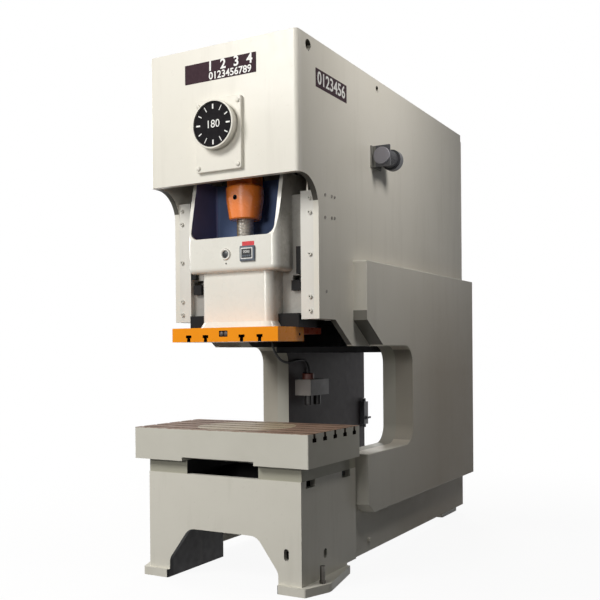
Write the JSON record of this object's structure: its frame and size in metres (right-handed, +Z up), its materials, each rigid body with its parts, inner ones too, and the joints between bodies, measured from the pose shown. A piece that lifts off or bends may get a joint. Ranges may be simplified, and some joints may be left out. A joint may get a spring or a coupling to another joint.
{
  "type": "mechanical stamping press",
  "caption": "Open-back C-frame mechanical press with a crank-driven ram over a T-slotted bolster, crank dial, adjusting screw, flywheel drive and welded box frame.",
  "frame": {"origin": "on the floor, under the middle of the machine's overall width and depth", "axes": "+X to the machine's right as seen from its front, +Y from the front to the back, +Z up"},
  "size_m": [1.192, 2.76, 2.94],
  "materials": {
    "frame_paint": "semi-gloss warm ivory machine enamel",
    "inner_paint": "flat dark paint inside the frame",
    "ram_paint": "glossy white enamel",
    "orange_paint": "glossy orange enamel",
    "machined_steel": "turned and ground steel with a film of oil",
    "guide_iron": "painted and machined cast iron",
    "bronze": "turned bearing bronze",
    "bolster_steel": "ground steel browned by oil",
    "dial_white": "white enamel ring",
    "dial_black": "matt black dial face",
    "counter_plastic": "black moulded case",
    "motor_grey": "dark grey machine paint",
    "pump_white": "light grey paint",
    "black_rubber": "matt black rubber"
  },
  "bodies": {
    "frame": {"side_plate_left": "frame_paint", "side_plate_right": "frame_paint", "side_box_left": "frame_paint", "side_box_right": "frame_paint", "inner_box_left": "inner_paint", "inner_box_right": "inner_paint", "head_front_plate": "frame_paint", "head_top_plate": "frame_paint", "front_bearing_wall": "inner_paint", "rear_bearing_wall": "inner_paint", "mid_bearing_wall": "inner_paint", "flywheel_wall": "inner_paint", "bearing_bushes": "bronze", "throat_ceiling_plate": "inner_paint", "rear_tie_plate": "frame_paint", "rear_guard": "frame_paint", "bed_front_plate": "frame_paint", "bed_side_left": "frame_paint", "bed_side_right": "frame_paint", "leg_liners": "inner_paint", "bed_webs": "inner_paint", "bolster_rails": "frame_paint", "feet": "frame_paint", "frame_bolts": "machined_steel", "knockout_stops": "machined_steel", "bolster": "bolster_steel", "bolster_centre_plate": "bolster_steel", "front_gibs": "guide_iron", "guide_rails": "guide_iron", "gib_bolts": "guide_iron", "balance_cylinders": "pump_white", "dial_plate": "frame_paint", "dial_housing": "dial_white", "main_motor": "motor_grey", "lube_pump": "motor_grey", "lube_pump_flange": "pump_white", "air_unit": "motor_grey", "air_hose": "black_rubber", "rear_valve": "motor_grey", "drive_belts": "black_rubber"},
    "crank": {"crankshaft": "machined_steel", "crank_gear": "guide_iron", "dial_disc": "dial_black"},
    "pinion": {"pinion_shaft": "machined_steel", "clutch_brake": "guide_iron"},
    "flywheel": {"flywheel": "guide_iron"},
    "pulley": {"motor_pulley": "machined_steel"},
    "ram": {"slide": "ram_paint", "slide_plate": "orange_paint", "ball_seat": "bronze", "ball_retainer": "machined_steel", "counter": "counter_plastic", "balance_rods": "machined_steel", "wing_shoes": "inner_paint"},
    "screw": {"adjusting_screw": "machined_steel"},
    "rod": {"connecting_rod": "orange_paint", "rod_cap": "orange_paint", "crank_pin": "machined_steel"},
    "knockout": {"knockout_bar": "machined_steel"},
    "lever": {"valve_lever": "motor_grey"}
  },
  "joints": [
    {"name": "crank_turn", "type": "hinge", "parent": "frame", "child": "crank", "pos_m": [0, -0.8, 2.488], "axis": [0, 1, 0], "continuous": true},
    {"name": "pinion_turn", "type": "hinge", "parent": "frame", "child": "pinion", "pos_m": [0, -0.8, 2.023], "axis": [0, 1, 0], "continuous": true},
    {"name": "flywheel_turn", "type": "hinge", "parent": "frame", "child": "flywheel", "pos_m": [0, 0.925, 2.023], "axis": [0, 1, 0], "continuous": true},
    {"name": "motor_turn", "type": "hinge", "parent": "frame", "child": "pulley", "pos_m": [0, 0.925, 1.473], "axis": [0, 1, 0], "continuous": true},
    {"name": "ram_stroke", "type": "slide", "parent": "frame", "child": "ram", "axis": [0, 0, 1], "range_m": [-0.18, 0]},
    {"name": "rod_swing", "type": "hinge", "parent": "ram", "child": "screw", "pos_m": [0, -1.054, 1.8], "axis": [0, 1, 0], "range_deg": [-6.6, 6.6]},
    {"name": "height_adjust", "type": "slide", "parent": "screw", "child": "rod", "axis": [0, 0, 1], "range_m": [-0.055, 0.05]},
    {"name": "knockout_lift", "type": "slide", "parent": "ram", "child": "knockout", "axis": [0, 0, 1], "range_m": [0, 0.024]},
    {"name": "valve_turn", "type": "hinge", "parent": "frame", "child": "lever", "pos_m": [-0.315, 1.295, 0.712], "axis": [1, 0, 0], "range_deg": [0, 90]}
  ],
  "couplings": [
    {"joint": "pinion_turn", "follows": "crank_turn", "ratio": -5.2},
    {"joint": "motor_turn", "follows": "flywheel_turn", "ratio": 5.0127}
  ]
}
